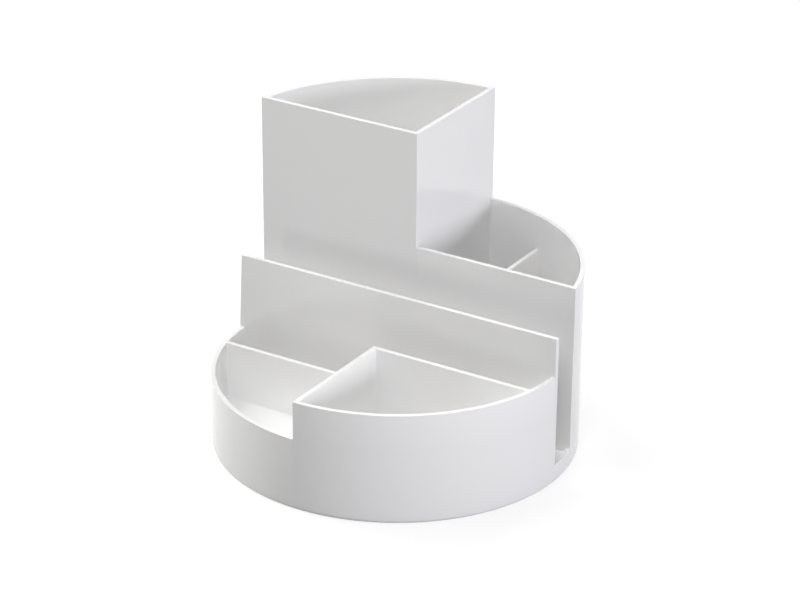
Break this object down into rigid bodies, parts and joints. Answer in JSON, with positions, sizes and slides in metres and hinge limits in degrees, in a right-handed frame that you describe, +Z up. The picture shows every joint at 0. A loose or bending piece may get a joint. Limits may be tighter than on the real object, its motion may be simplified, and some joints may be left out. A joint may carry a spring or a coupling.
{
  "type": "desk organizer",
  "caption": "Round white plastic desk organizer: tall pen cup, letter slot right across, rear compartments, a trough and stepped front trays.",
  "frame": {"origin": "middle of the round underside, on the surface that the organizer stands on", "axes": "+Z up, letter slot along X, front trays towards -Y, pen cup at -X and +Y"},
  "size_m": [0.1392, 0.1396, 0.119],
  "materials": {
    "white_plastic": "gloss, moulded"
  },
  "bodies": {
    "root": {"base_skirt": "white_plastic", "floor_plate": "white_plastic", "slot_sill_left": "white_plastic", "slot_sill_right": "white_plastic", "slot_front_panel": "white_plastic", "slot_rear_panel": "white_plastic", "cup_front_wall": "white_plastic", "cup_side_wall": "white_plastic", "cup_outer_wall": "white_plastic", "rear_outer_wall": "white_plastic", "rear_divider": "white_plastic", "low_tray_outer_wall": "white_plastic", "corner_tray_outer_wall": "white_plastic", "low_tray_back_wall": "white_plastic", "corner_tray_back_wall": "white_plastic", "tray_divider": "white_plastic"}
  },
  "joints": []
}
